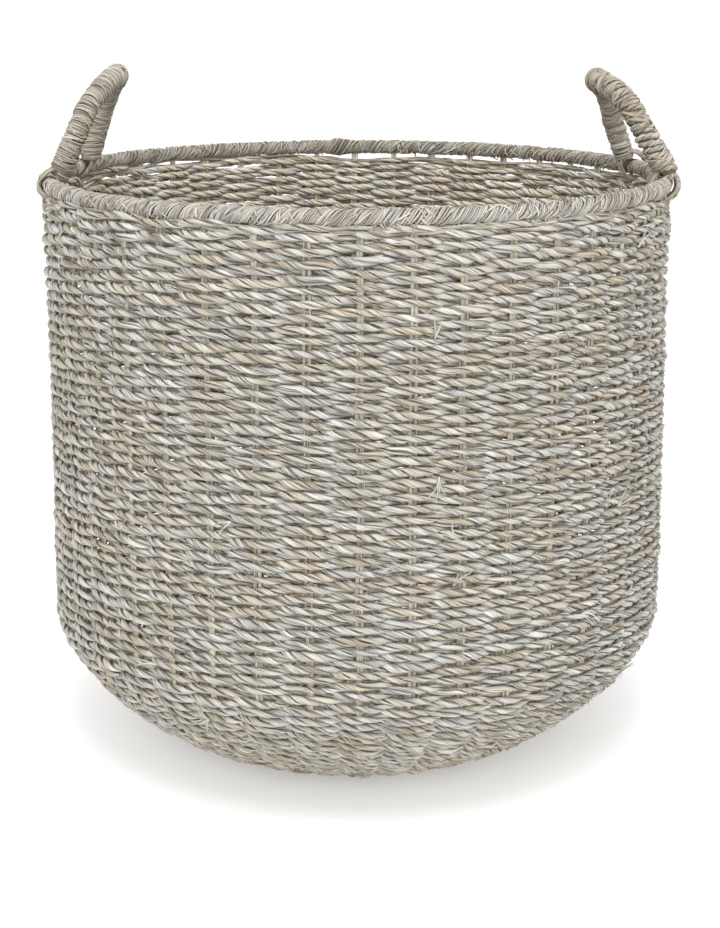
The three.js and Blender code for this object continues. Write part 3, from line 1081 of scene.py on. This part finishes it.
def grass_material(name, tones, fibre=0.00035):
    """Dried grass blades: tone along the strand, fine fibres, and the whitewash on the outside."""
    material = bpy.data.materials.new(name)
    material.use_nodes = True
    tree = material.node_tree
    nodes, links = tree.nodes, tree.links
    shader = nodes["Principled BSDF"]

    def attribute(title):
        node = nodes.new("ShaderNodeAttribute")
        node.attribute_name = title
        return node.outputs["Fac"]

    def noise(vector, scale, detail=2.0, dimensions="2D"):
        node = nodes.new("ShaderNodeTexNoise")
        node.noise_dimensions = dimensions
        set_inputs(node, Scale=scale, Detail=detail)
        links.new(vector, node.inputs["Vector"])
        return node.outputs["Fac"]

    def maths(kind, first, second):
        node = nodes.new("ShaderNodeMath")
        node.operation = kind
        for socket, value in zip(node.inputs, (first, second)):
            if isinstance(value, (int, float)):
                socket.default_value = value
            else:
                links.new(value, socket)
        return node.outputs[0]

    def spread(value, low, high, start=0.25, stop=0.75):
        """Takes start to stop, where most of a noise lies, onto low to high."""
        node = nodes.new("ShaderNodeMapRange")
        links.new(value, node.inputs["Value"])
        set_inputs(node, From_Min=start, From_Max=stop, To_Min=low, To_Max=high)
        return node.outputs["Result"]

    strand = nodes.new("ShaderNodeUVMap")
    strand.uv_map = "Strand"
    stretch = nodes.new("ShaderNodeMapping")
    set_inputs(stretch, Scale=(fibre / FIBRE_LENGTH, 1.0, 1.0))
    links.new(strand.outputs["UV"], stretch.inputs["Vector"])
    fibres = noise(stretch.outputs["Vector"], 1 / fibre, detail=3.0)
    streaks = noise(stretch.outputs["Vector"], 0.4 / fibre, detail=1.0)
    place = nodes.new("ShaderNodeTexCoord")
    patches = noise(place.outputs["Object"], PATCHES_PER_METRE, dimensions="3D")

    tone = maths("ADD", attribute("tone"), spread(patches, -PATCH_TONE, PATCH_TONE))
    tone = maths("ADD", tone, spread(streaks, -STREAK_TONE, STREAK_TONE))
    wash = attribute("wash")
    tone = maths("ADD", tone, maths("MULTIPLY", maths("SUBTRACT", 1.0, wash), UNWASHED_TONE))
    ramp = nodes.new("ShaderNodeValToRGB")
    for index, (place_at, colour) in enumerate(tones):
        stops = ramp.color_ramp.elements
        # A new ramp already has its two end stops.
        element = stops[index] if index < 2 else stops.new(place_at)
        element.position = place_at
        element.color = (*colour, 1.0)
    links.new(tone, ramp.inputs["Fac"])

    off_middle = maths("ABSOLUTE", maths("SUBTRACT", streaks, 0.5), 0.0)
    crease = spread(off_middle, CREASE_SHADE, 1.0, 0.0, CREASE_WIDTH)
    level = maths("MULTIPLY", attribute("light"), spread(fibres, *FIBRE_SHADE))
    level = maths("MULTIPLY", level, crease)
    level = maths("MULTIPLY", level, maths("ADD", 0.9, maths("MULTIPLY", wash, 0.1)))
    shade = nodes.new("ShaderNodeVectorMath")
    shade.operation = "SCALE"
    links.new(ramp.outputs["Color"], shade.inputs[0])
    links.new(level, shade.inputs["Scale"])
    links.new(shade.outputs["Vector"], shader.inputs["Base Color"])

    links.new(spread(fibres, *FIBRE_ROUGHNESS), shader.inputs["Roughness"])
    set_inputs(shader, Specular_IOR_Level=0.25)
    bump = nodes.new("ShaderNodeBump")
    set_inputs(bump, Strength=FIBRE_BUMP, Distance=FIBRE_RELIEF)
    links.new(maths("ADD", fibres, crease), bump.inputs["Height"])
    links.new(bump.outputs["Normal"], shader.inputs["Normal"])
    return material


# Colours are linear. Each list gives tone 0, tone 1 and then the tones between.
ROPE_TONES = [
    (0.0, (0.635, 0.640, 0.620)),
    (1.0, (0.53, 0.46, 0.355)),
    (0.35, (0.615, 0.600, 0.550)),
    (0.65, (0.580, 0.540, 0.460)),
]
STEM_TONES = [
    (0.0, (0.70, 0.69, 0.64)),
    (1.0, (0.58, 0.49, 0.34)),
    (0.5, (0.66, 0.62, 0.51)),
]
RIM_TONES = [
    (0.0, (0.578, 0.567, 0.536)),
    (1.0, (0.399, 0.326, 0.231)),
    (0.4, (0.536, 0.504, 0.446)),
    (0.7, (0.478, 0.430, 0.352)),
]
HANDLE_TONES = [
    (0.0, (0.543, 0.533, 0.491)),
    (1.0, (0.345, 0.272, 0.172)),
    (0.4, (0.486, 0.444, 0.381)),
    (0.7, (0.423, 0.366, 0.287)),
]
CANE_TONES = [
    (0.0, (0.46, 0.38, 0.26)),
    (1.0, (0.30, 0.21, 0.11)),
]


# ---- Floor, light and camera ----

def build_floor():
    """A very wide pale disc, so that its edge lies far behind the basket."""
    steps = 96
    angle = TURN * np.arange(steps) / steps
    points = np.stack([FLOOR_RADIUS * np.cos(angle), FLOOR_RADIUS * np.sin(angle), np.zeros(steps)], -1)
    mesh = bpy.data.meshes.new("floor")
    mesh.from_pydata(points.tolist(), [], [list(range(steps))])
    floor = add_object("floor", mesh)
    material = bpy.data.materials.new("pale_floor")
    material.use_nodes = True
    shader = material.node_tree.nodes["Principled BSDF"]
    set_inputs(shader, Base_Color=(0.8, 0.8, 0.8, 1.0), Roughness=0.9, Specular_IOR_Level=0.0)
    set_inputs(shader, Emission_Color=(1.0, 1.0, 1.0, 1.0), Emission_Strength=0.3)
    mesh.materials.append(material)


def area_light(name, place, aim, size, power):
    data = bpy.data.lights.new(name, "AREA")
    data.shape = "DISK"
    data.size = size
    data.energy = power
    light = add_object(name, data)
    light.location = place
    direction = np.array(aim) - np.array(place)
    yaw = math.atan2(-direction[0], direction[1])
    pitch = math.atan2(direction[2], math.hypot(direction[0], direction[1]))
    light.rotation_euler = (math.pi / 2 + pitch, 0.0, yaw)


def build_light():
    world = bpy.data.worlds.new("studio")
    bpy.context.scene.world = world
    world.use_nodes = True
    background = world.node_tree.nodes["Background"]
    set_inputs(background, Color=(1.0, 1.0, 1.0, 1.0), Strength=WORLD_STRENGTH)
    aim = (0.0, 0.0, 0.2)
    area_light("key", (-0.5, -2.2, 1.2), aim, 1.3, KEY_POWER)
    area_light("fill", (1.5, -1.8, 1.0), aim, 1.5, FILL_POWER)
    area_light("top", (0.0, -0.9, 1.9), (0.0, 0.15, 0.35), 0.9, TOP_POWER)


def build_camera():
    data = bpy.data.cameras.new("camera")
    data.sensor_fit = "VERTICAL"
    data.sensor_height = 24.0
    data.lens = CAMERA_LENS
    camera = add_object("camera", data)
    camera.location = (CAMERA_SIDE, -CAMERA_DISTANCE, CAMERA_HEIGHT)
    camera.rotation_euler = (math.pi / 2 - math.radians(CAMERA_PITCH), 0.0, 0.0)
    bpy.context.scene.camera = camera


build_camera()
build_light()
build_floor()

rope = grass_material("seagrass_rope", ROPE_TONES)
stem = grass_material("pale_stems", STEM_TONES, fibre=0.0004)
lashing = grass_material("rim_strand", RIM_TONES, fibre=0.0003)
winding = grass_material("handle_strand", HANDLE_TONES, fibre=0.0003)
cane = grass_material("bare_cane", CANE_TONES, fibre=0.0004)

build_wall(rope)
build_base(rope)
build_stakes(stem)
build_loose_fibres(rope)
build_rim(lashing)
for joint in frame["joints"]:
    side = joint["child"].removeprefix("handle_")
    build_handle(side, joint, winding)
    for foot, sign in (("a", -1), ("b", 1)):
        build_eye(side, foot, joint, sign, winding)
for name in ("rim_hoop", "handle_rod_right", "handle_rod_left"):
    for holder in frame["nodes"][name].material_slots:
        holder.material = cane

bpy.context.scene.view_settings.view_transform = "Standard"
